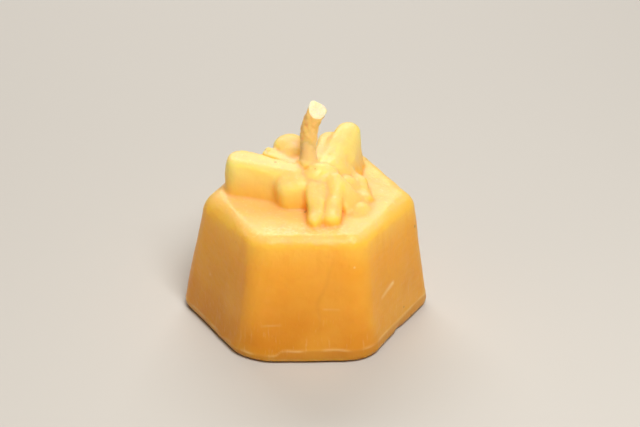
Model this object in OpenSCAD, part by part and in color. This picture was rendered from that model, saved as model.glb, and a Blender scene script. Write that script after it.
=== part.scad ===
// Moulded beeswax votive candle: a tapered six-sided block with a bee in
// relief on its top face and a braided cotton wick through its middle.
// Units are millimetres, +Z is up, and the origin is the middle of the base.
// The corners of the base lie on +X and -X and a flat side faces -Y.

/* [Block] */
// Width of the base across opposite corners, before the corners are rounded
base_across = 50; // [40:0.5:70]
// Width of the top face across opposite corners, before rounding
top_across = 41.4; // [34:0.2:60]
// Height of the block from the base to its top face
block_h = 25.8; // [18:0.2:60]
// Radius of the upright corners
corner_r = 4.4; // [3:0.2:7]
// Radius of the soft edge round the top face
top_edge_r = 2.2; // [1:0.2:2.8]
// Radius of the soft edge round the base
base_edge_r = 1.7; // [0.4:0.1:1.8]
// Sideways lean of the block, left by a flexible mould
lean = 0.8; // [0:0.1:1.5]

/* [Second pour] */
// Thickness of the levelling pour that closes the base
pour_h = 1.9; // [1.5:0.1:4]
// Depth of the shrinkage well round the wick that the second pour fills
well_depth = 7; // [3:0.5:10]
// Radius of the mouth of the shrinkage well
well_r = 10; // [6:0.5:14]

/* [Bee] */
// Height of the left wings above the top face; the right ones stand higher
wing_h = 7; // [5:0.1:9]
// Height of the abdomen above the top face
abdomen_h = 8.2; // [6:0.1:10]
// Height of the thorax and head above the top face
head_h = 7.7; // [6:0.1:9]
// Height of the legs' highest points above the top face
leg_h = 5.2; // [4.6:0.1:7]

/* [Wick] */
// Diameter of the waxed braid
wick_d = 3.2; // [2:0.1:4]
// Length of wick that stands straight above the top face
wick_straight = 12.4; // [10:0.1:20]
// Radius of the bend at the free end
wick_bend_r = 12; // [8:0.5:30]
// Angle through which the free end bends towards +X
wick_bend_deg = 34; // [10:1:45]

/* [Hidden] */

$fn = 96;
draft = 0.4;
top_x = lean;
wick_x = lean - 0.15;
wick_y = -0.2;
bee_z = block_h;

// Centre of the rounding at corner i of a hexagon of circumradius rc
function corner(rc, r, i) =
    let(k = rc - r / cos(30)) [k * cos(60 * i), k * sin(60 * i)];

// Disc with a rounded rim: the shape that is left at each corner of the block
module soft_disc(r, rim)
    rotate_extrude($fn = 32)
        intersection() {
            union() {
                translate([r - rim, 0]) circle(r = rim, $fn = 32);
                translate([0, -rim]) square([r - rim, 2 * rim]);
            }
            translate([0, -rim]) square([r, 2 * rim]);
        }

// Whole outer form of the block, both pours together
module block_form()
    hull() {
        for (i = [0:5]) {
            b = corner(base_across / 2, corner_r, i);
            t = corner(top_across / 2, corner_r, i);
            translate([b[0], b[1], base_edge_r])
                soft_disc(corner_r, base_edge_r);
            translate([t[0] + top_x, t[1], block_h - top_edge_r])
                soft_disc(corner_r, top_edge_r);
        }
    }

// Funnel that the wax draws down round the wick as it cools
module sink_well(extra = 0)
    translate([wick_x, wick_y, pour_h - extra])
        cylinder(h = well_depth + extra, r1 = well_r, r2 = wick_d / 2 + 0.6);

// Straight hole that the wick fills
module wick_hole(z0, z1)
    translate([wick_x, wick_y, z0]) cylinder(h = z1 - z0, d = wick_d);

// Rounded puck, a little wider at its foot, at one end of a lobe
module puck(p, r, h, edge)
    translate([p[0], p[1], bee_z]) {
        cylinder(h = 0.5, r = r + draft, $fn = 32);
        translate([0, 0, h - edge])
            rotate_extrude($fn = 32)
                intersection() {
                    union() {
                        translate([r - edge, 0]) circle(r = edge, $fn = 24);
                        translate([0, -edge]) square([r - edge, 2 * edge]);
                    }
                    square([r, edge]);
                }
    }

// Lobe that stands up from the top face with steep walls and a soft top edge
module lobe(p, rp, hp, q, rq, hq, edge)
    hull() {
        puck(p, rp, hp, edge);
        puck(q, rq, hq, min(edge, rq * 0.9));
    }

// Round knob on a slightly narrower foot
module knob(p, r, h) {
    translate([p[0], p[1], bee_z + h - r]) sphere(r = r, $fn = 48);
    translate([p[0], p[1], bee_z - 1]) cylinder(h = h - r + 1, r = r * 0.93, $fn = 48);
}

// Straight length of leg between two knobs, solid down to the top face
module shank(p, hp, q, hq, r) {
    a = atan2(q[1] - p[1], q[0] - p[0]);
    d = norm(q - p);
    translate([p[0], p[1], bee_z + hp - r])
        rotate([0, 90 - atan2(hq - hp, d), a])
            cylinder(h = norm([d, hq - hp]), r = r, $fn = 48);
    translate([p[0], p[1], bee_z])
        rotate([90, 0, a])
            linear_extrude(height = 1.84 * r, center = true)
                polygon([[0, -1], [d, -1], [d, max(0.1, hq - r)], [0, hp - r]]);
}

module candle_body()
    color("#E8A63C")
        difference() {
            block_form();
            translate([-base_across, -base_across, -1])
                cube([2 * base_across, 2 * base_across, 1 + pour_h]);
            sink_well(0.5);
            wick_hole(0, block_h + 1);
        }

module base_pour()
    color("#DC9A35")
        difference() {
            union() {
                intersection() {
                    block_form();
                    translate([-base_across, -base_across, -1])
                        cube([2 * base_across, 2 * base_across, 1 + pour_h]);
                }
                sink_well(0);
            }
            wick_hole(-1, block_h);
        }

module bee_figure()
    color("#F0B74E")
        difference() {
            union() {
                // left forewing and hindwing
                lobe([-12.2, 2.0], 3.2, wing_h, [-2.2, -2.2], 2.2, wing_h, 0.9);
                lobe([-6.4, 4.6], 2.0, wing_h - 0.4, [-1.0, 0.2], 1.4, wing_h - 0.5, 0.5);
                // right forewing and hindwing
                lobe([8.8, 10.9], 2.4, wing_h + 2, [4.4, 0.8], 2.6, wing_h - 0.1, 1.8);
                lobe([4.9, 10.0], 2.2, wing_h + 0.3, [2.6, 1.2], 1.8, wing_h - 0.3, 1);
                // abdomen
                lobe([-2.9, 7.5], 3.4, abdomen_h, [0.2, 0.6], 2.6, abdomen_h - 1.8, 2.3);
                // middle legs, one each side
                lobe([-2.9, -4.0], 2.7, leg_h + 1.1, [-0.7, -4.5], 2.1, leg_h + 1.1, 2.1);
                lobe([6.3, -4.4], 2.0, leg_h + 1.3, [9.5, -6.1], 3.0, leg_h - 2.2, 1.9);
                // thorax, with the head under its front
                knob([2.6, -2.3], 2.9, head_h);
                // hind leg on the right and its joint
                knob([8.6, -0.2], 1.3, leg_h - 0.8);
                shank([8.6, -0.2], leg_h - 0.9, [10.8, -1.8], leg_h - 1.3, 1.2);
                knob([10.8, -1.8], 1.4, leg_h - 1.3);
                shank([10.8, -1.8], leg_h - 1.4, [12.0, -5.8], leg_h - 3.2, 1.15);
                knob([12.0, -5.8], 1.3, leg_h - 3.1);
                knob([8.8, 5.7], 1.4, leg_h - 2.6);
                knob([10.7, 6.2], 1.4, leg_h - 3.1);
                // forelegs, folded down to the top face
                knob([1.1, -5.6], 1.3, leg_h + 0.2);
                shank([1.1, -5.6], leg_h + 0.1, [1.2, -11.4], leg_h - 2.9, 1.2);
                knob([1.2, -11.4], 1.35, leg_h - 2.7);
                knob([3.0, -7.0], 1.0, leg_h - 0.8);
                shank([3.0, -7.0], leg_h - 0.9, [2.9, -11.6], leg_h - 3.2, 0.95);
                knob([2.9, -11.6], 1.15, leg_h - 3.0);
                knob([5.7, -5.4], 1.1, leg_h - 0.3);
                shank([5.7, -5.4], leg_h - 0.4, [5.2, -10.2], leg_h - 2.4, 1.05);
                knob([5.2, -10.2], 1.4, leg_h - 2.2);
                shank([5.2, -10.2], leg_h - 2.3, [4.9, -12.5], leg_h - 3.1, 1.35);
                knob([4.9, -12.5], 1.6, leg_h - 2.9);
            }
            // seat on the top face
            translate([-30, -30, bee_z - 10]) cube([60, 60, 10]);
            wick_hole(block_h - 1, block_h + 12);
        }

module wick()
    color("#E3C48A") {
        z1 = block_h + wick_straight;
        lap = 2;
        difference() {
            union() {
                translate([wick_x, wick_y, 0])
                    cylinder(h = z1, d = wick_d);
                // free end, a little slimmer and bent towards +X
                translate([wick_x + wick_bend_r, wick_y, z1])
                    rotate([90, 0, 0])
                        rotate([0, 0, 180 - wick_bend_deg])
                            rotate_extrude(angle = wick_bend_deg + lap)
                                translate([wick_bend_r, 0]) circle(d = wick_d - 0.1);
            }
            // slanting cut across the tip, facing -Y and up
            translate([
                wick_x + wick_bend_r * (1 - cos(wick_bend_deg)),
                wick_y,
                z1 + wick_bend_r * sin(wick_bend_deg) - 1.1
            ])
                rotate([38, 22, 0])
                    translate([-8, -8, 0]) cube([16, 16, 9]);
        }
    }

candle_body();
base_pour();
bee_figure();
wick();
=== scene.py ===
import math

import bpy
import numpy as np
from mathutils import Matrix, Vector


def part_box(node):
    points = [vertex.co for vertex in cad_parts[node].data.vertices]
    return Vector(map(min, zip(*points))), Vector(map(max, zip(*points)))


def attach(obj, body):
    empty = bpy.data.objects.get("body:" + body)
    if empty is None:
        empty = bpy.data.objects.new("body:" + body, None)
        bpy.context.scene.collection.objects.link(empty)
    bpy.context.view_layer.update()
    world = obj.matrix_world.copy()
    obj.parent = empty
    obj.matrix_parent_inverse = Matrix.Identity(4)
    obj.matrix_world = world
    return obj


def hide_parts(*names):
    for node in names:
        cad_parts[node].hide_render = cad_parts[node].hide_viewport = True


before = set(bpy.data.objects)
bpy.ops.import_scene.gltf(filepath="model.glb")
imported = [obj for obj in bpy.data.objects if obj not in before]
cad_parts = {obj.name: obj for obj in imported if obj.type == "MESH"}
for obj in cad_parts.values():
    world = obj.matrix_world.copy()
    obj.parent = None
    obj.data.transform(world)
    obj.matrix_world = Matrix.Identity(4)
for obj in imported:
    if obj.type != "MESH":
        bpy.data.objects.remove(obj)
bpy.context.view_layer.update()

# ---------------------------------------------------------------- dimensions
# Millimetres throughout the geometry code; meshes are written in metres.
MM = 0.001
lo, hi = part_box("base_pour")
HALF_X = max(-lo.x, hi.x) / MM            # half width over the rounded corners
FLAT_Y = max(-lo.y, hi.y) / MM            # half width across flats
lo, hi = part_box("candle_body")
ZT = hi.z / MM                            # height of the top face
POUR = lo.z / MM                          # top of the second pour
lo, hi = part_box("wick")
WX0 = lo.x / MM + 1.6                     # wick's axis where it stands straight
WY0 = 0.5 * (lo.y + hi.y) / MM
WTOP = hi.z / MM
LEAN = 0.8                                # the top face sits this far towards +X
RB = FLAT_Y / math.cos(math.radians(30))  # circumradius of the sharp base
RT = 20.7                                 # circumradius of the sharp top face


# ------------------------------------------------------------- implicit form
def smin(a, b, k):
    h = np.clip(0.5 + 0.5 * (b - a) / k, 0.0, 1.0)
    return b * (1 - h) + a * h - k * h * (1 - h)


def smax(a, b, k):
    return -smin(-a, -b, k)


def sstep(a, b, x):
    t = np.clip((x - a) / (b - a), 0.0, 1.0)
    return t * t * (3 - 2 * t)


class Noise:
    """Smooth seeded value noise, a sum of plane waves with random headings."""

    def __init__(self, seed, scale, n=14):
        r = np.random.RandomState(seed)
        d = r.normal(size=(n, 3))
        d /= np.linalg.norm(d, axis=1)[:, None]
        self.k = d * (2 * math.pi / scale) * r.uniform(0.6, 1.5, n)[:, None]
        self.p = r.uniform(0, 2 * math.pi, n)
        self.n = n

    def __call__(self, x, y, z):
        s = 0.0
        for k, p in zip(self.k, self.p):
            s = s + np.sin(k[0] * x + k[1] * y + k[2] * z + p)
        return s / math.sqrt(self.n / 2.0)


N_BROAD = Noise(11, 16.0)
N_MID = Noise(12, 5.5)
N_FINE = Noise(13, 1.9)


def drop2(x, y, p, rp, q, rq):
    """Signed distance in plan to two circles and their outer tangents, and
    how far along from p to q the nearest point lies."""
    px, py = p
    dx, dy = q[0] - px, q[1] - py
    h = math.hypot(dx, dy)
    ux, uy = dx / h, dy / h
    a = x - px
    b = y - py
    v = a * ux + b * uy
    u = np.abs(-a * uy + b * ux)
    bb = (rp - rq) / h
    aa = math.sqrt(max(1 - bb * bb, 1e-6))
    k = -bb * u + aa * v
    d = aa * u + bb * v - rp
    d = np.where(k < 0, np.sqrt(u * u + v * v) - rp, d)
    d = np.where(k > aa * h, np.sqrt(u * u + (v - h) ** 2) - rq, d)
    return d, np.clip(v / h, 0, 1)


def lobe(x, y, z, p, rp, hp, q, rq, hq, edge=0.9, draft=0.07, dish=0.0, dome=0.0):
    """A lobe standing on the top face: steep walls, soft top edge."""
    z0 = z - ZT
    d, t = drop2(x, y, p, rp, q, rq)
    inner = np.clip(-d, 0, 3.0)
    h = hp + (hq - hp) * t * t * (3 - 2 * t)
    if dome:
        h = h - dome * (1 - np.clip(inner / max(rp, rq), 0, 1)) ** 2
    if dish:
        h = h - dish * sstep(0.55 * edge, 0.55 * edge + 1.5, inner)
    d = d + draft * np.clip(z0, -1, 12)
    w0 = d + edge
    w1 = z0 - h + edge
    return (
        np.minimum(np.maximum(w0, w1), 0)
        + np.sqrt(np.maximum(w0, 0) ** 2 + np.maximum(w1, 0) ** 2)
        - edge
    )


def ball(x, y, z, c, r, sink=0.12):
    """A ball at height c[2] over the top face, drawn straight down below its
    middle so that it leaves the mould."""
    dz = z - ZT - c[2]
    dz = np.where(dz < 0, dz * sink, dz)
    return np.sqrt((x - c[0]) ** 2 + (y - c[1]) ** 2 + dz * dz) - r


def seg(x, y, z, a, ra, b, rb, sink=0.15, even=False):
    """A round ridge from a to b whose sides run down to the top face."""
    z0 = z - ZT
    ax, ay, az = a
    bx, by, bz = b
    dx, dy = bx - ax, by - ay
    L = dx * dx + dy * dy
    t = np.clip(((x - ax) * dx + (y - ay) * dy) / L, 0, 1)
    cx = ax + t * dx
    cy = ay + t * dy
    ts = t if even else t * t * (3 - 2 * t)
    cz = az + ts * (bz - az)
    r = ra + ts * (rb - ra)
    dz = z0 - cz
    dz = np.where(dz < 0, dz * sink, dz)
    return np.sqrt((x - cx) ** 2 + (y - cy) ** 2 + dz * dz) - r


# how far each base corner left the mould off its true place, and its radius
SHIFT = {0: (0.2, -0.35), 3: (-0.3, 0.4), 4: (0.5, -0.05), 5: (-0.6, 0.05)}
CORNER = {0: 4.6, 1: 4.2, 2: 4.2, 3: 5.2, 4: 5.4, 5: 4.4}


def pour_line(x, y):
    """Height of the seam between the two pours."""
    return (
        POUR + 0.45 + 0.55 * np.tanh(1.6 * (x + 5.4)) + 0.10 * np.sin(0.43 * x + 0.31 * y)
        + 0.06 * np.sin(1.3 * x - 0.9 * y + 0.4)
    )


def flow(z):
    """Where the cold seam in the wax runs down the front side."""
    return 2.3 + 2.6 * sstep(12.0, 21.0, z) + 0.25 * np.sin(0.9 * z)


def face_planes():
    out = []
    for i in range(6):
        c = []
        for j in (i, (i + 1) % 6):
            a0 = math.radians(60 * j)
            dx, dy = SHIFT.get(j, (0.0, 0.0))
            c.append(np.array([RB * math.cos(a0) + dx, RB * math.sin(a0) + dy, 0.0]))
        t = []
        for j in (i, (i + 1) % 6):
            a0 = math.radians(60 * j)
            t.append(np.array([RT * math.cos(a0) + LEAN, RT * math.sin(a0), ZT]))
        n = np.cross(c[1] - c[0], 0.5 * (t[0] + t[1]) - c[0])
        out.append((n / np.linalg.norm(n), 0.5 * (c[0] + c[1])))
    return out


PLANES = face_planes()


def bumpat(x, y, z, p, sx, sy, sz):
    return np.exp(-(((x - p[0]) / sx) ** 2) - ((y - p[1]) / sy) ** 2 - ((z - p[2]) / sz) ** 2)


def stroke(x, y, z, p, q, w):
    """1 on a short straight stroke from p to q, fading over its half width."""
    d = [q[i] - p[i] for i in range(3)]
    L = d[0] ** 2 + d[1] ** 2 + d[2] ** 2
    t = np.clip(((x - p[0]) * d[0] + (y - p[1]) * d[1] + (z - p[2]) * d[2]) / L, 0, 1)
    r2 = (x - p[0] - t * d[0]) ** 2 + (y - p[1] - t * d[1]) ** 2 + (z - p[2] - t * d[2]) ** 2
    return np.exp(-r2 / (w * w))


def block(x, y, z):
    """The six-sided block. Its sides lean in towards the top face."""
    one = np.full(np.shape(x), -1e3)
    two = one
    # each corner left the mould with its own softness
    cr = np.zeros(np.shape(x))
    wsum = np.full(np.shape(x), 1e-6)
    for i in range(6):
        a0 = math.radians(60 * i)
        w = np.maximum(x * math.cos(a0) + y * math.sin(a0), 0) ** 6
        cr = cr + w * CORNER[i]
        wsum = wsum + w
        n, b0 = PLANES[i]
        d = (x - b0[0]) * n[0] + (y - b0[1]) * n[1] + (z - b0[2]) * n[2]
        two = np.maximum(two, np.minimum(one, d))
        one = np.maximum(one, d)
    cr = np.clip(cr / wsum, 3.5, 6.0)
    # the two front corners are blunter near the base
    cr = cr + sstep(9.0, 1.0, z) * sstep(-14.0, -19.0, y) * np.where(x < 0, 3.2, 2.0)
    one = one + cr
    two = two + cr
    rnd = np.sqrt(np.maximum((one * one + two * two - one * two) / 0.75, 0))
    side = np.where((one > 0) & (two > 0.5 * one), rnd, one) - cr
    # the sides are slightly hollow and carry slow ripples from the mould
    side = side + 0.07 * N_BROAD(x, y, z) + 0.016 * N_MID(x, y, 0.35 * z)
    line = pour_line(x, y)
    side = side - 0.05 * (1 - sstep(line - 0.2, line + 0.2, z))
    side = side - 0.045 * np.exp(-(((z - line) / 0.22) ** 2))
    # cold seam on the front, and the scrapes and chips of a used candle
    front = sstep(-12.0, -15.0, y)
    seam = np.exp(-(((x - flow(z)) / 0.32) ** 2)) * sstep(5.0, 8.0, z) * sstep(23.5, 19.0, z)
    side = side + 0.035 * front * seam
    side = side + 0.12 * stroke(x, y, z, (16.9, -11.3, 11.7), (15.0, -14.9, 10.7), 0.3)
    side = side + 0.08 * stroke(x, y, z, (14.6, -15.7, 10.1), (13.7, -17.7, 7.9), 0.26)
    side = side + 0.45 * bumpat(x, y, z, (18.4, -11.0, 0.8), 1.1, 1.1, 0.8)
    side = side + 0.30 * bumpat(x, y, z, (16.3, -14.6, 0.4), 0.8, 0.8, 0.6)
    side = side - 0.22 * front * sstep(8.6, 7.4, x) * sstep(-9.5, -7.5, x) * np.exp(-(((z - 0.75) / 0.4) ** 2))
    rt = 2.2 + 1.7 * sstep(13.0, 19.0, LEAN - x) + 0.9 * sstep(13.0, 19.0, x - LEAN)
    rb = 1.7
    top = z - ZT - 0.035 * N_MID(x, y, z * 0)
    # a fine raised bead where the front of the top face met the mould's lip
    bead = np.exp(-(((y + 16.3 + 0.12 * np.sin(1.7 * x) + 0.08 * np.sin(4.1 * x)) / 0.3) ** 2))
    top = top - 0.10 * bead * sstep(-8.6, -7.0, x) * sstep(10.8, 9.2, x)
    u = np.maximum(side + rt, 0)
    v = np.maximum(top + rt, 0)
    f = np.minimum(np.maximum(side, top), -rt) + np.sqrt(u * u + v * v)
    bot = 0.02 - z
    u = np.maximum(f + rb, 0)
    v = np.maximum(bot + rb, 0)
    return np.minimum(np.maximum(f, bot), -rb) + np.sqrt(u * u + v * v)


def bee(x, y, z):
    n1 = N_MID(x, y, z)
    n2 = N_MID(y, z, x)
    wx = x + 0.10 * n1
    wy = y + 0.10 * n2
    L = lambda *a, **k: lobe(wx, wy, z, *a, **k)
    S = lambda *a, **k: seg(wx, wy, z, *a, **k)
    k = 0.65
    # left wings
    f = L((-12.2, 2.0), 3.8, 7.5, (-2.2, -2.2), 2.7, 7.0, edge=1.6, draft=0.13, dish=0.4)
    f = smin(f, L((-6.4, 4.6), 2.0, 6.6, (-1.0, 0.2), 1.6, 6.5, edge=0.35), k)
    # right wings
    g = L((8.6, 10.9), 2.9, 9.3, (4.4, 0.8), 2.9, 6.9, edge=1.9, draft=0.08)
    g = smin(g, L((4.9, 10.0), 2.5, 7.3, (2.6, 1.2), 2.1, 6.7, edge=1.0), 1.1)
    # the wing's right side slopes down instead of dropping straight
    g = smin(g, L((8.9, 9.5), 2.5, 7.7, (6.5, 2.6), 2.9, 5.0, edge=2.3, draft=0.12), 1.6)
    f = smin(f, g, k)
    # abdomen
    g = L((-2.9, 7.5), 3.7, 8.2, (0.2, 0.6), 2.9, 6.4, edge=2.3)
    g = smin(g, ball(wx, wy, z, (-2.0, 4.4, 5.6), 2.1), 0.9)
    f = smin(f, g, k)
    # middle legs
    f = smin(f, L((-2.9, -4.0), 2.9, 5.8, (-0.7, -4.5), 2.3, 6.1, edge=2.8, draft=0.06), 1.5)
    # the right one spreads into an apron
    g = S((6.2, -4.5, 4.4), 1.8, (10.0, -6.9, -2.6), 3.9, even=True)
    f = smin(f, g, 0.9)
    # thorax
    g = smin(ball(wx, wy, z, (2.1, -2.5, 4.9), 2.6), ball(wx, wy, z, (4.4, -2.3, 4.5), 2.4), 1.6)
    f = smin(f, g, 0.9)
    # right outer leg and its joint
    g = S((8.6, 3.2, 2.4), 1.1, (10.7, 1.0, 1.5), 1.2)
    g = smin(g, S((10.7, 1.0, 1.5), 1.2, (11.9, -3.6, 0.2), 1.3), 0.9)
    g = smin(g, L((8.2, -0.8), 2.4, 3.6, (10.0, -3.4), 2.2, 1.5, edge=1.4, draft=0.2), 1.0)
    f = smin(f, g, 1.0)
    f = smin(f, S((8.0, 6.4, 1.2), 1.1, (10.0, 6.9, 0.3), 1.3), 1.2)
    # forelegs
    g = S((1.5, -5.4, 3.9), 1.45, (1.8, -12.4, 0.7), 1.55)
    h = smin(S((2.9, -5.6, 4.3), 0.75, (3.1, -8.8, 2.9), 0.7), S((3.1, -8.8, 2.9), 0.7, (2.7, -11.6, 1.5), 0.8), 0.4)
    f = smin(f, smin(g, h, 0.9), 0.6)
    # wax left between the legs where the mould didn't close
    f = smin(f, L((3.3, -5.2), 2.4, 4.6, (3.3, -10.8), 2.2, 1.5, edge=1.1, draft=0.1), 0.7)
    g = smin(S((6.0, -4.9, 4.4), 1.3, (5.4, -8.6, 2.6), 1.1), S((5.2, -7.8, 1.9), 1.5, (5.0, -12.2, 0.8), 1.6), 0.8)
    f = smin(f, g, 0.5)
    # wax drawn up round the wick, higher on its right
    r = np.sqrt((x - WX0) ** 2 + (y - WY0) ** 2)
    h = z - ZT
    top = h - 10.2 - 0.45 * (x - WX0) - 0.45 * n2
    c = r - 1.53 + 0.055 * np.clip(top, -4, 1.4) - 0.8 * np.exp(-np.clip(h - 5.8, 0, 9) / 0.9) - 0.03 * n1
    c = smax(c, (top - 1.4) * 0.3, 0.06)
    f = smin(f, c, 0.6)
    # pits and scabs where the wax tore as the mould peeled off
    rough = sstep(4.6, 5.4, h) * np.exp(-(((x - 1.5) / 5.5) ** 2) - ((y + 1.0) / 5.0) ** 2) * sstep(1.9, 2.6, r)
    f = f + 0.08 * rough * (np.abs(N_FINE(x, y, z)) - 0.6)
    torn = bumpat(x, y, z, (-7.4, 5.2, ZT + 6.6), 2.0, 1.2, 1.0) + bumpat(x, y, z, (-0.6, -2.2, ZT + 6.4), 1.3, 1.0, 1.2)
    f = f + 0.22 * torn * N_FINE(x, y, z)
    return f


def wax(x, y, z):
    f = block(x, y, z)
    if np.max(z) > ZT - 3:
        g = np.maximum(bee(x, y, z), ZT - 4 - z)
        f = smin(f, g, 0.7)
    f = f + 0.012 * N_FINE(x, y, z) * sstep(0.0, 1.0, z)
    # the wick's end shows in a shallow dimple under the base
    r = np.sqrt((x - WX0) ** 2 + (y - WY0) ** 2)
    return smax(f, -smax(r - 1.9, z - 0.35, 0.2), 0.15)


# ------------------------------------------------------------- surface nets
def surface(fn, lo, hi, s, chunk=14, newton=3):
    """Closed quad mesh of fn = 0 inside the box, pulled onto the surface."""
    n = [int(math.ceil((hi[i] - lo[i]) / s)) + 1 for i in range(3)]
    ax = [lo[i] + s * np.arange(n[i], dtype=np.float32) for i in range(3)]
    v = np.empty(n, np.float32)
    X, Y = np.meshgrid(ax[0], ax[1], indexing="ij")
    for k in range(0, n[2], chunk):
        z = ax[2][k : k + chunk]
        xx = np.broadcast_to(X[:, :, None], (n[0], n[1], len(z)))
        yy = np.broadcast_to(Y[:, :, None], (n[0], n[1], len(z)))
        zz = np.broadcast_to(z[None, None, :], (n[0], n[1], len(z)))
        v[:, :, k : k + chunk] = fn(xx, yy, zz)
    inside = v < 0
    c = np.zeros([m - 1 for m in n], np.uint8)
    for a in (0, 1):
        for b in (0, 1):
            for d in (0, 1):
                c += inside[a : n[0] - 1 + a, b : n[1] - 1 + b, d : n[2] - 1 + d]
    act = np.argwhere((c > 0) & (c < 8))
    index = np.full([m - 1 for m in n], -1, np.int32)
    index[act[:, 0], act[:, 1], act[:, 2]] = np.arange(len(act))
    pos = np.zeros((len(act), 3))
    cnt = np.zeros(len(act))
    for axis in range(3):
        o = [i for i in range(3) if i != axis]
        for b in (0, 1):
            for d in (0, 1):
                p0 = act.copy()
                p0[:, o[0]] += b
                p0[:, o[1]] += d
                p1 = p0.copy()
                p1[:, axis] += 1
                a0 = v[p0[:, 0], p0[:, 1], p0[:, 2]]
                a1 = v[p1[:, 0], p1[:, 1], p1[:, 2]]
                m = (a0 < 0) != (a1 < 0)
                t = np.where(m, a0 / np.where(m, a0 - a1, 1), 0)
                q = p0.astype(float)
                q[:, axis] += t
                pos[m] += q[m]
                cnt[m] += 1
    pos /= cnt[:, None]
    pos = pos * s + np.array(lo)
    for _ in range(newton):
        x, y, z = pos.T
        f = fn(x, y, z)
        e = 0.02
        g = np.stack(
            [
                fn(x + e, y, z) - fn(x - e, y, z),
                fn(x, y + e, z) - fn(x, y - e, z),
                fn(x, y, z + e) - fn(x, y, z - e),
            ],
            1,
        ) / (2 * e)
        g2 = np.maximum((g * g).sum(1), 0.05)
        step = (f / g2)[:, None] * g
        ln = np.linalg.norm(step, axis=1)
        step *= np.minimum(1, 0.35 * s / np.maximum(ln, 1e-9))[:, None]
        pos -= step
    quads = []
    for axis in range(3):
        o = [(axis + 1) % 3, (axis + 2) % 3]
        sl0 = [slice(1, m - 1) for m in n]
        sl1 = [slice(1, m - 1) for m in n]
        sl0[axis] = slice(0, n[axis] - 1)
        sl1[axis] = slice(1, n[axis])
        a = inside[tuple(sl0)]
        b = inside[tuple(sl1)]
        e = np.argwhere(a != b)
        e[:, o[0]] += 1
        e[:, o[1]] += 1
        flip = inside[e[:, 0], e[:, 1], e[:, 2]]
        corners = []
        for d0, d1 in ((-1, -1), (0, -1), (0, 0), (-1, 0)):
            q = e.copy()
            q[:, o[0]] += d0
            q[:, o[1]] += d1
            corners.append(index[q[:, 0], q[:, 1], q[:, 2]])
        q = np.stack(corners, 1)
        q[~flip] = q[~flip][:, ::-1]
        quads.append(q)
    return pos, np.concatenate(quads)


def mesh_object(name, pos, quads, smooth=True):
    me = bpy.data.meshes.new(name)
    me.vertices.add(len(pos))
    me.vertices.foreach_set("co", (pos * MM).astype(np.float32).ravel())
    me.loops.add(quads.size)
    me.loops.foreach_set("vertex_index", quads.astype(np.int32).ravel())
    me.polygons.add(len(quads))
    me.polygons.foreach_set("loop_start", np.arange(0, quads.size, quads.shape[1], dtype=np.int32))
    me.polygons.foreach_set("use_smooth", np.full(len(quads), smooth))
    me.update(calc_edges=True)
    me.validate()
    ob = bpy.data.objects.new(name, me)
    bpy.context.scene.collection.objects.link(ob)
    return ob


STEP = 0.30
pos, quads = surface(
    wax, (-HALF_X - 1.5, -FLAT_Y - 1.5, -0.7), (HALF_X + 1.5, FLAT_Y + 1.5, ZT + 13), STEP
)
wax_ob = mesh_object("wax_casting", pos, quads)


def add_mask(ob, name, values):
    at = ob.data.attributes.new(name, "FLOAT", "POINT")
    at.data.foreach_set("value", np.asarray(values, np.float32))


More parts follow.
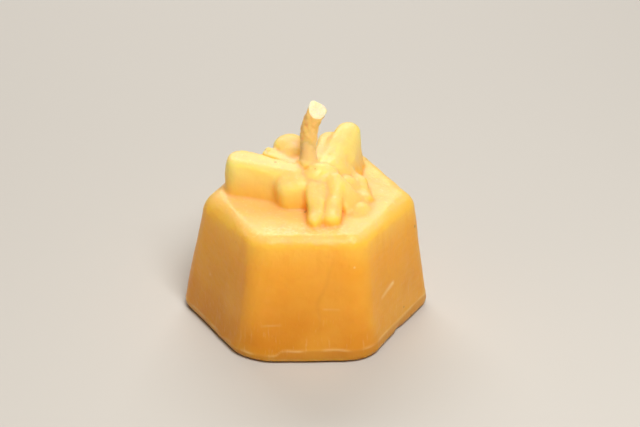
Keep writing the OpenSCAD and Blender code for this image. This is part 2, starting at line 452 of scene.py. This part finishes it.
def wax_masks():
    """What the wax's colour depends on, point by point."""
    co = np.empty(len(wax_ob.data.vertices) * 3, np.float32)
    wax_ob.data.vertices.foreach_get("co", co)
    x, y, z = (co.reshape(-1, 3) / MM).astype(float).T
    e = 0.1
    g = np.stack(
        [wax(x + e, y, z) - wax(x - e, y, z), wax(x, y + e, z) - wax(x, y - e, z), wax(x, y, z + e) - wax(x, y, z - e)]
    )
    g /= np.maximum(np.linalg.norm(g, axis=0), 1e-6)
    # crease and rim: how hollow or how convex the surface is round each point; the colour uses them to paint shade
    # into creases and highlights onto rims
    crease = 0.0
    edge = 0.0
    for d, w in ((0.7, 0.45), (1.6, 0.55)):
        crease = crease + w * np.clip(1 - wax(x + d * g[0], y + d * g[1], z + d * g[2]) / d, 0, 1)
        edge = edge + w * np.clip(1 + wax(x - d * g[0], y - d * g[1], z - d * g[2]) / d, 0, 1)
    add_mask(wax_ob, "crease", crease)
    add_mask(wax_ob, "rim", edge)
    line = pour_line(x, y)
    broken = np.clip(0.75 + 0.5 * N_MID(x, y, 0 * z), 0.15, 1.0)
    add_mask(wax_ob, "seam", broken * np.exp(-(((z - line) / 0.22) ** 2)))
    add_mask(wax_ob, "strip", sstep(line + 0.2, line - 0.3, z))
    front = sstep(-12.0, -15.0, y)
    add_mask(
        wax_ob, "flow",
        front * np.exp(-(((x - flow(z)) / 0.45) ** 2)) * sstep(5.0, 8.0, z) * sstep(24.0, 19.0, z),
    )
    scrape = stroke(x, y, z, (16.9, -11.3, 11.7), (15.0, -14.9, 10.7), 0.38)
    scrape = scrape + 0.45 * stroke(x, y, z, (14.6, -15.7, 10.1), (13.7, -17.7, 7.9), 0.26)
    scrape = scrape + 0.5 * stroke(x, y, z, (11.0, -19.2, 16.9), (11.15, -19.2, 17.0), 0.25)
    scrape = scrape + 0.3 * stroke(x, y, z, (3.3, -20.0, 11.4), (6.2, -20.0, 11.35), 0.16)
    scrape = scrape + 0.2 * stroke(x, y, z, (-8.6, -20.4, 8.0), (-4.9, -20.4, 8.3), 0.16)
    scrape = scrape + 0.4 * stroke(x, y, z, (-18.7, -6.9, 11.4), (-18.7, -7.0, 11.5), 0.24)
    scrape = scrape + 0.4 * stroke(x, y, z, (-16.2, -13.0, 6.5), (-16.2, -13.1, 6.6), 0.2)
    add_mask(wax_ob, "scrape", np.clip(scrape, 0, 1))
    r = np.sqrt((x - WX0) ** 2 + (y - WY0) ** 2)
    add_mask(wax_ob, "film", sstep(2.7, 1.9, r) * sstep(ZT + 6.8, ZT + 7.8, z))
    # the glossy strip along the front of the top face: it lowers the roughness there and carries a painted highlight
    wave = 0.5 * N_MID(x, y, 0 * z)
    gloss = sstep(-16.6, -16.1, y) * sstep(-12.6 + wave, -13.6 + wave, y) * sstep(-8.2, -7.2, x) * sstep(11.0, 3.0, x)
    add_mask(wax_ob, "gloss", gloss * sstep(ZT - 1.5, ZT - 0.8, z) * sstep(ZT + 0.8, ZT + 0.3, z))


wax_masks()

# ---------------------------------------------------------------------- wick
BEND_R, BEND = 13.4, math.radians(36)
Z1 = ZT + 11.2
WICK_END = Z1 + BEND_R * BEND


def wick_path(t):
    """Centre and heading of the braid at length t along it, from the base."""
    a = np.clip((t - Z1) / BEND_R, 0, None)
    c = np.stack(
        [WX0 + BEND_R * (1 - np.cos(a)), WY0 + 0 * a, np.where(t < Z1, t, Z1 + BEND_R * np.sin(a))], -1
    )
    return c, np.stack([np.sin(a), 0 * a, np.cos(a)], -1)


def braid(th, t, c):
    """Radius of the braid: two crossing sets of six yarns, plainly woven."""
    w = 2 * math.pi / (6 * 2.0)
    u = np.cos(3 * (th - w * t))
    v = np.cos(3 * (th + w * t + 0.3))
    ha = 0.15 * np.abs(u) + 0.075 * u * v
    hb = 0.15 * np.abs(v) - 0.075 * u * v
    h = -smin(-ha, -hb, 0.05)
    waxed = 1 - sstep(ZT + 9.6, ZT + 12.0, t - 0.5 * np.cos(th))
    tip = sstep(WICK_END - 4.5, WICK_END - 0.4, t)
    flare = sstep(WICK_END - 1.7, WICK_END - 0.1, t)
    rx = 1.58 - 0.08 * waxed + 0.06 * tip + 0.20 * flare
    ry = 1.50 - 0.08 * waxed - 0.20 * tip
    r = rx * ry / np.sqrt((ry * np.cos(th)) ** 2 + (rx * np.sin(th)) ** 2)
    r = r * (1 + flare * (0.13 * np.cos(2 * (th - 2.75)) + 0.07 * np.cos(3 * (th - 2.75))))
    return r + 0.78 * h * (1 - 0.6 * waxed) + 0.02 * N_WICK(c[..., 0], c[..., 1], c[..., 2]) * (1 - 0.5 * waxed)


N_WICK = Noise(31, 1.1)
N_CUT = Noise(32, 0.9)
N_WAVE = Noise(33, 5.0)


def make_wick():
    ns, nt = ((430, 104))
    th = np.linspace(0, 2 * math.pi, nt, endpoint=False)
    cut_n = np.array([0.375, -0.571, 0.731])
    cut_c = wick_path(np.array([WICK_END]))[0][0] + np.array([0.20, 0, -1.45])

    def point(t):
        c, d = wick_path(t)
        c = c + np.stack([0.10 * N_WAVE(t, 0 * t, 0 * t), 0.08 * N_WAVE(0 * t, t, 0 * t), 0 * t], -1) * sstep(
            ZT + 6, ZT + 12, t
        )[..., None]
        n = np.cross(np.array([0.0, 1.0, 0.0]), d)
        q = c + 1.5 * (np.cos(th)[..., None] * n + np.sin(th)[..., None] * np.array([0.0, 1.0, 0.0]))
        r = braid(th, t, q)
        return c + r[..., None] * (np.cos(th)[..., None] * n + np.sin(th)[..., None] * np.array([0.0, 1.0, 0.0]))

    a = np.full(nt, Z1 - 2.0)
    b = np.full(nt, WICK_END + 4.0)
    for _ in range(30):
        m = 0.5 * (a + b)
        over = (point(m) - cut_c) @ cut_n > 0
        a, b = np.where(over, a, m), np.where(over, m, b)
    stop = 0.5 * (a + b) - 0.06
    z0 = Z1 - 3.0
    low = np.linspace(0.02, z0, int(ns * 0.62))
    q = np.linspace(0, 1, ns - len(low) + 1)[1:]
    rows = [point(np.full(nt, t)) for t in low] + [point(z0 + (stop - z0) * k) for k in q]
    # caps: rings that shrink to the middle, with the cut yarns standing up
    out = rows[-1]
    mid = out.mean(0)
    for k in (0.965, 0.90, 0.80, 0.69, 0.57, 0.45, 0.33, 0.21, 0.10):
        p = mid + (out - mid) * k
        d = p - mid
        up = 0.10 * min(1.0, (1 - k) / 0.12) + 0.07 * (1 - k)
        bump = 0.075 * np.abs(N_CUT(p[:, 0], p[:, 1], p[:, 2])) * min(1.0, (1 - k) / 0.2)
        rows.append(p + (up + bump)[:, None] * cut_n)
    first = rows[0]
    fm = first.mean(0)
    rows = [fm + (first - fm) * k for k in (0.15, 0.5, 0.85)] + rows
    verts = np.concatenate(rows)
    n = len(rows)
    faces = []
    for i in range(n - 1):
        for j in range(nt):
            k = (j + 1) % nt
            faces.append((i * nt + j, i * nt + k, (i + 1) * nt + k, (i + 1) * nt + j))
    faces.append(tuple(reversed(range(nt))))
    faces.append(tuple((n - 1) * nt + j for j in range(nt)))
    me = bpy.data.meshes.new("wick_braid")
    me.from_pydata((verts * MM).tolist(), [], faces)
    me.polygons.foreach_set("use_smooth", np.full(len(faces), True))
    cut = np.zeros(len(verts), np.float32)
    cut[(n - 10) * nt :] = 1.0
    at = me.attributes.new("cut", "FLOAT", "POINT")
    at.data.foreach_set("value", cut)
    me.validate()
    ob = bpy.data.objects.new("wick_braid", me)
    bpy.context.scene.collection.objects.link(ob)
    return ob


wick_ob = make_wick()

# ----------------------------------------------------------------- materials
def nodes_of(name):
    m = bpy.data.materials.new(name)
    m.use_nodes = True
    nt = m.node_tree
    nt.nodes.clear()
    out = nt.nodes.new("ShaderNodeOutputMaterial")
    bsdf = nt.nodes.new("ShaderNodeBsdfPrincipled")
    nt.links.new(bsdf.outputs[0], out.inputs[0])
    return m, nt, bsdf


def N(nt, kind, **kw):
    n = nt.nodes.new(kind)
    for k, v in kw.items():
        setattr(n, k, v)
    return n


def ramp(nt, fac, stops):
    r = N(nt, "ShaderNodeValToRGB")
    el = r.color_ramp.elements
    while len(el) < len(stops):
        el.new(0.5)
    for e, (p, c) in zip(el, stops):
        e.position = p
        e.color = (*c, 1)
    nt.links.new(fac, r.inputs[0])
    return r.outputs[0]


class Num:
    """A number in a node tree that can be reckoned with."""

    def __init__(self, nt, out):
        self.nt, self.out = nt, out

    def op(self, kind, *others, clamp=False):
        n = self.nt.nodes.new("ShaderNodeMath")
        n.operation = kind
        n.use_clamp = clamp
        for i, v in enumerate((self,) + others):
            if isinstance(v, Num):
                self.nt.links.new(v.out, n.inputs[i])
            else:
                n.inputs[i].default_value = float(v)
        return Num(self.nt, n.outputs[0])

    def __add__(self, o):
        return self.op("ADD", o)

    def __sub__(self, o):
        return self.op("SUBTRACT", o)

    def __mul__(self, o):
        return self.op("MULTIPLY", o)

    def clamp(self):
        return self.op("ADD", 0.0, clamp=True)

    def step(self, a, b):
        """0 below a and 1 above b, or the other way round."""
        n = self.nt.nodes.new("ShaderNodeMapRange")
        n.interpolation_type = "SMOOTHSTEP"
        self.nt.links.new(self.out, n.inputs["Value"])
        lo_, hi_, t0, t1 = (a, b, 0.0, 1.0) if a < b else (b, a, 1.0, 0.0)
        n.inputs["From Min"].default_value = lo_
        n.inputs["From Max"].default_value = hi_
        n.inputs["To Min"].default_value = t0
        n.inputs["To Max"].default_value = t1
        return Num(self.nt, n.outputs[0])


def attr(nt, name):
    n = N(nt, "ShaderNodeAttribute")
    n.attribute_name = name
    return Num(nt, n.outputs["Fac"])


def noise(nt, vec, scale, detail=2.0, rough=0.5, stretch=None):
    if stretch:
        mp = N(nt, "ShaderNodeMapping")
        mp.inputs["Scale"].default_value = stretch
        nt.links.new(vec, mp.inputs["Vector"])
        vec = mp.outputs[0]
    n = N(nt, "ShaderNodeTexNoise")
    n.inputs["Scale"].default_value = scale
    n.inputs["Detail"].default_value = detail
    n.inputs["Roughness"].default_value = rough
    nt.links.new(vec, n.inputs["Vector"])
    return Num(nt, n.outputs["Fac"])


def specks(nt, vec, scale, size, share):
    """Round specks: the cells of a Voronoi pattern that draw a low number."""
    v = N(nt, "ShaderNodeTexVoronoi")
    v.inputs["Scale"].default_value = scale
    nt.links.new(vec, v.inputs["Vector"])
    sep = N(nt, "ShaderNodeSeparateColor")
    nt.links.new(v.outputs["Color"], sep.inputs[0])
    pick = Num(nt, sep.outputs[0]).op("LESS_THAN", share)
    grow = Num(nt, sep.outputs[1]) * size + 0.35 * size
    near = Num(nt, v.outputs["Distance"]).op("SUBTRACT", grow).step(0.06, -0.02)
    return near * pick


def mix(nt, a, b, fac):
    """Colour a turned towards colour b; each is a socket or three numbers."""
    m = N(nt, "ShaderNodeMix")
    m.data_type = "RGBA"
    m.inputs[0].default_value = 0
    for v, i in ((a, 6), (b, 7)):
        if isinstance(v, tuple):
            m.inputs[i].default_value = (*v, 1)
        else:
            nt.links.new(v, m.inputs[i])
    nt.links.new(fac.clamp().out, m.inputs[0])
    return m.outputs[2]


def wax_material(name, depth):
    """Beeswax. depth is how far, in metres, light wanders inside it."""
    m, nt, b = nodes_of(name)
    vec = N(nt, "ShaderNodeTexCoord").outputs["Object"]
    xyz = N(nt, "ShaderNodeSeparateXYZ")
    nt.links.new(vec, xyz.inputs[0])
    z = Num(nt, xyz.outputs[2]) * 1000.0
    cloud = noise(nt, vec, 75, 3.0, 0.55)
    mott = noise(nt, vec, 420, 3.0, 0.6)
    grain = noise(nt, vec, 1500, 2.0, 0.5)
    streak = noise(nt, vec, 300, 2.0, 0.5, (1.0, 1.0, 0.16))
    hair = noise(nt, vec, 2400, 2.0, 0.6, (1.0, 1.0, 0.05))
    # painted shade: the wax is painted darker and redder towards the base
    up = z.step(1.0, 24.0)
    col = mix(nt, WAX_BASE_SHADE_PAINTED, WAX_HIGH, up)
    # painted light: a paler, yellower band towards the top edge stands in for light glowing through the wax there
    col = mix(nt, col, WAX_TOP_GLOW_PAINTED, z.step(18.5, 24.8) * 0.7)
    col = mix(nt, col, WAX_CLOUD, cloud.step(0.35, 0.75) * 0.45)
    col = mix(nt, col, WAX_DEEP, mott.step(0.45, 0.8) * 0.22)
    col = mix(nt, col, WAX_DEEP, streak.step(0.52, 0.78) * 0.22)
    # painted light: the relief is painted paler and yellower, most of all towards its top, in place of light passing
    # through the thin wax
    col = mix(nt, col, WAX_RELIEF_PAINTED_LIGHT, z.step(24.8, 31.5) * 0.95)
    geo = N(nt, "ShaderNodeNewGeometry")
    nz = N(nt, "ShaderNodeSeparateXYZ")
    nt.links.new(geo.outputs["Normal"], nz.inputs[0])
    level = Num(nt, nz.outputs[2]).step(0.35, 0.95)
    # painted sheen: upward faces near the top face are painted paler, in mottled patches
    painted_top_sheen = z.step(22.5, 25.6) * level * (mott.step(0.2, 0.8) * 0.5 + 0.5)
    col = mix(nt, col, WAX_PAINTED_SHEEN, painted_top_sheen * 0.9)
    col = mix(nt, col, WAX_PALE, hair.step(0.58, 0.74) * z.step(13.0, 3.0) * 0.16)
    col = mix(nt, col, WAX_PALE, grain.step(0.56, 0.74) * level * z.step(24.0, 25.6) * 0.30)
    col = mix(nt, col, WAX_DARK, attr(nt, "strip") * 0.55)
    # painted shade: creases are painted a deeper, more saturated orange
    col = mix(nt, col, WAX_CREASE_PAINTED_SHADE, attr(nt, "crease").step(0.2, 0.95) * 0.6)
    # painted highlight: convex edges and rims are painted paler
    col = mix(nt, col, WAX_PAINTED_SHEEN, attr(nt, "rim").step(0.22, 0.55) * 0.45)
    foot = attr(nt, "crease").step(0.35, 0.7) * z.step(27.2, 26.2) * z.step(25.0, 25.5) * grain.step(0.35, 0.65)
    col = mix(nt, col, WAX_DARK, foot * 0.45)
    col = mix(nt, col, WAX_DARK, attr(nt, "flow") * 0.15)
    # painted highlight: the glossy strip along the front of the top face is painted paler in grains
    col = mix(nt, col, WAX_PALE, attr(nt, "gloss") * grain.step(0.3, 0.7) * 0.35)
    col = mix(nt, col, WAX_PALE, attr(nt, "seam") * 0.38)
    col = mix(nt, col, WAX_PALE, attr(nt, "scrape") * 0.9)
    col = mix(nt, col, (0.16, 0.06, 0.015), specks(nt, vec, 190, 0.055, 0.05) * 0.8)
    col = mix(nt, col, (0.35, 0.15, 0.03), specks(nt, vec, 520, 0.13, 0.04) * 0.5)
    col = mix(nt, col, WAX_PALE, specks(nt, vec, 330, 0.07, 0.03) * 0.6)
    col = mix(nt, col, (0.99, 0.64, 0.27), attr(nt, "film") * 0.85)
    nt.links.new(col, b.inputs["Base Color"])
    b.inputs["Subsurface Weight"].default_value = 1.0
    b.inputs["Subsurface Radius"].default_value = (1.0, 0.74, 0.28)
    b.inputs["Subsurface Scale"].default_value = depth
    b.inputs["Specular IOR Level"].default_value = 0.27
    b.inputs["Subsurface Anisotropy"].default_value = 0.0
    b.inputs["IOR"].default_value = 1.44
    rough = mott * 0.26 + 0.23
    rough = rough + attr(nt, "scrape") * 0.15 - attr(nt, "gloss") * 0.1 - attr(nt, "rim").step(0.2, 0.6) * 0.1
    nt.links.new(rough.out, b.inputs["Roughness"])
    height = mott * 0.6 + grain * 0.5 + streak * 0.4 + hair * 0.3 - specks(nt, vec, 620, 0.22, 0.10) * 0.35
    bump = N(nt, "ShaderNodeBump")
    bump.inputs["Strength"].default_value = 0.5
    bump.inputs["Distance"].default_value = 0.00024
    nt.links.new(height.out, bump.inputs["Height"])
    nt.links.new(bump.outputs[0], b.inputs["Normal"])
    return m


def wick_material():
    m, nt, b = nodes_of("waxed_cotton")
    vec = N(nt, "ShaderNodeTexCoord").outputs["Object"]
    xyz = N(nt, "ShaderNodeSeparateXYZ")
    nt.links.new(vec, xyz.inputs[0])
    z = Num(nt, xyz.outputs[2]) * 1000.0
    blot = noise(nt, vec, 650, 3.0, 0.55)
    fibre = noise(nt, vec, 5200, 2.0, 0.6, (1.0, 1.0, 0.35))
    col = mix(nt, (0.95, 0.58, 0.16), (0.97, 0.64, 0.20), blot.step(0.3, 0.7))
    col = mix(nt, col, (0.97, 0.74, 0.38), fibre.step(0.55, 0.8) * 0.35)
    col = mix(nt, col, (0.98, 0.66, 0.26), z.step(ZT + 12.0, ZT + 9.6) * 0.6)
    tip = attr(nt, "cut")
    col = mix(nt, col, (0.93, 0.81, 0.56), tip * (blot.step(0.2, 0.8) * 0.25 + 0.75))
    nt.links.new(col, b.inputs["Base Color"])
    b.inputs["Subsurface Weight"].default_value = 0.9
    b.inputs["Subsurface Radius"].default_value = (1.0, 0.65, 0.35)
    b.inputs["Subsurface Scale"].default_value = 0.0014
    b.inputs["Sheen Weight"].default_value = 0.15
    b.inputs["Sheen Roughness"].default_value = 0.5
    rough = blot * 0.3 + 0.40
    nt.links.new(rough.out, b.inputs["Roughness"])
    bump = N(nt, "ShaderNodeBump")
    bump.inputs["Strength"].default_value = 0.16
    bump.inputs["Distance"].default_value = 0.00005
    nt.links.new((fibre * 0.8 + blot * 0.5).out, bump.inputs["Height"])
    nt.links.new(bump.outputs[0], b.inputs["Normal"])
    return m


# linear colours of the wax, from the painted shade of the base up to the painted light of the relief
WAX_BASE_SHADE_PAINTED = (0.72, 0.285, 0.014)
WAX_HIGH = (0.93, 0.440, 0.042)
WAX_TOP_GLOW_PAINTED = (0.98, 0.60, 0.09)
WAX_CLOUD = (0.95, 0.52, 0.085)
WAX_DEEP = (0.78, 0.315, 0.028)
WAX_DARK = (0.60, 0.24, 0.03)
WAX_CREASE_PAINTED_SHADE = (0.97, 0.42, 0.024)
WAX_PAINTED_SHEEN = (0.98, 0.56, 0.22)
WAX_RELIEF_PAINTED_LIGHT = (0.99, 0.73, 0.23)
WAX_PALE = (0.99, 0.76, 0.38)

wax_ob.data.materials.append(wax_material("beeswax", 0.0058))
# the film drawn up the wick is thin, so light can't wander as far in it
wax_ob.data.materials.append(wax_material("beeswax_film", 0.0007))
ctr = np.empty(len(wax_ob.data.polygons) * 3, np.float32)
wax_ob.data.polygons.foreach_get("center", ctr)
cx, cy, cz = (ctr.reshape(-1, 3) / MM).astype(float).T
near = np.hypot(cx - WX0, cy - WY0) < 2.1
film = near & (cz > ZT + 7.6 + 0.4 * N_MID(cx, cy, cz))
wax_ob.data.polygons.foreach_set("material_index", film.astype(np.int32))
wick_ob.data.materials.append(wick_material())
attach(wax_ob, "root")
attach(wick_ob, "root")
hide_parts("candle_body", "base_pour", "bee_figure")
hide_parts("wick")

# --------------------------------------------------------------------- stage
bpy.ops.mesh.primitive_plane_add(size=3.0, location=(0, 0, 0))
floor = bpy.context.object
floor.name = "floor"
m, nt_, b_ = nodes_of("floor")
b_.inputs["Base Color"].default_value = (0.56, 0.545, 0.52, 1)
b_.inputs["Roughness"].default_value = 0.9
floor.data.materials.append(m)


def area(name, loc, target, size, power, color=(1, 1, 1)):
    d = bpy.data.lights.new(name, "AREA")
    d.shape = "RECTANGLE"
    d.size, d.size_y = size
    d.energy = power
    d.color = color
    o = bpy.data.objects.new(name, d)
    bpy.context.scene.collection.objects.link(o)
    o.location = loc
    o.rotation_euler = (Vector(target) - Vector(loc)).to_track_quat("-Z", "Y").to_euler()
    return o


area("key", (0.09, -0.23, 0.40), (0, 0, 0.02), (0.20, 0.20), 2.15, (1.0, 0.97, 0.92))
area("gloss", (-0.03, 0.39, 0.35), (0, 0, 0.02), (0.46, 0.22), 1.75, (1.0, 0.97, 0.93))
area("fill", (-0.42, -0.22, 0.22), (0, 0, 0.02), (0.40, 0.30), 0.16, (1.0, 0.84, 0.62))
world = bpy.data.worlds.new("world")
bpy.context.scene.world = world
world.use_nodes = True
world.node_tree.nodes["Background"].inputs[0].default_value = (1.0, 0.80, 0.56, 1)
world.node_tree.nodes["Background"].inputs[1].default_value = 0.11
bpy.context.scene.view_settings.view_transform = "Standard"

# -------------------------------------------------------------------- camera
AZ, EL, DIST, F = math.radians(-0.90), math.radians(30.43), 365.4, 1805.14
ROLL, TX, TY = math.radians(-0.10), 2.89, 18.02
back = np.array([math.sin(AZ) * math.cos(EL), -math.cos(AZ) * math.cos(EL), math.sin(EL)])
right = np.array([math.cos(AZ), math.sin(AZ), 0.0])
up = np.cross(back, right)
R = right * math.cos(ROLL) + up * math.sin(ROLL)
U = -right * math.sin(ROLL) + up * math.cos(ROLL)
C = back * DIST + R * TX + U * TY
cam = bpy.data.cameras.new("camera")
cam.sensor_width = 36
cam.lens = F / 640 * 36
cam.clip_start = 0.01
cam_ob = bpy.data.objects.new("camera", cam)
bpy.context.scene.collection.objects.link(cam_ob)
M = Matrix.Identity(4)
for i in range(3):
    M[i][0], M[i][1], M[i][2], M[i][3] = R[i], U[i], back[i], C[i] * MM
cam_ob.matrix_world = M
bpy.context.scene.camera = cam_ob
